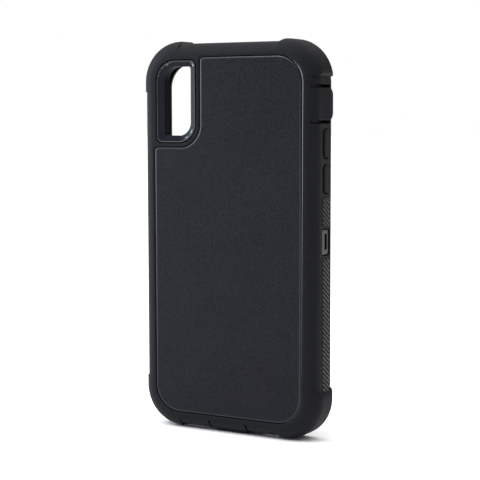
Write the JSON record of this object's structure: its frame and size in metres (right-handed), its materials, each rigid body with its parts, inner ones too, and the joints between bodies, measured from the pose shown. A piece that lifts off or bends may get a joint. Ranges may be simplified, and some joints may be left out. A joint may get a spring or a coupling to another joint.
{
  "type": "phone case",
  "caption": "Rugged phone case: soft cover with raised corner bumpers over a clip-together hard shell, with hinged switch and port flaps and press-through buttons.",
  "frame": {"origin": "middle of the case across and through it, at the foot of the bottom corner bumpers", "axes": "+Z along the case towards the camera end, +Y out of the screen opening, +X towards the flank with the volume buttons; the back panel faces -Y"},
  "size_m": [0.0818, 0.015, 0.1587],
  "materials": {
    "soft_cover": "matte",
    "hard_shell": "satin, fine grain",
    "gloss_bezel": "polished",
    "lining": "matte foam"
  },
  "bodies": {
    "case": {"slipcover": "soft_cover", "back_shell": "hard_shell", "front_frame": "hard_shell", "camera_bezel": "gloss_bezel", "foam_lining": "lining"},
    "switch_cover": {"mute_switch_flap": "soft_cover"},
    "port_cover": {"charge_port_flap": "soft_cover"},
    "volume_up": {"volume_up_button": "soft_cover"},
    "volume_down": {"volume_down_button": "soft_cover"},
    "side_key": {"side_button": "soft_cover"}
  },
  "joints": [
    {"name": "switch_flap_hinge", "type": "hinge", "parent": "case", "child": "switch_cover", "pos_m": [0.03741, -0.00665, 0.133], "axis": [0, 0, -1], "range_deg": [0, 100], "stiffness_Nm_per_rad": 0.0008, "springref_deg": -20.05},
    {"name": "port_flap_hinge", "type": "hinge", "parent": "case", "child": "port_cover", "pos_m": [0, -0.00717, 0.00455], "axis": [-1, 0, 0], "range_deg": [0, 100], "stiffness_Nm_per_rad": 0.001, "springref_deg": -20.05},
    {"name": "volume_up_press", "type": "slide", "parent": "case", "child": "volume_up", "axis": [-1, 0, 0], "range_m": [0, 0.0005], "stiffness_N_per_m": 3000},
    {"name": "volume_down_press", "type": "slide", "parent": "case", "child": "volume_down", "axis": [-1, 0, 0], "range_m": [0, 0.0005], "stiffness_N_per_m": 3000},
    {"name": "side_press", "type": "slide", "parent": "case", "child": "side_key", "axis": [1, 0, 0], "range_m": [0, 0.0005], "stiffness_N_per_m": 3000}
  ]
}
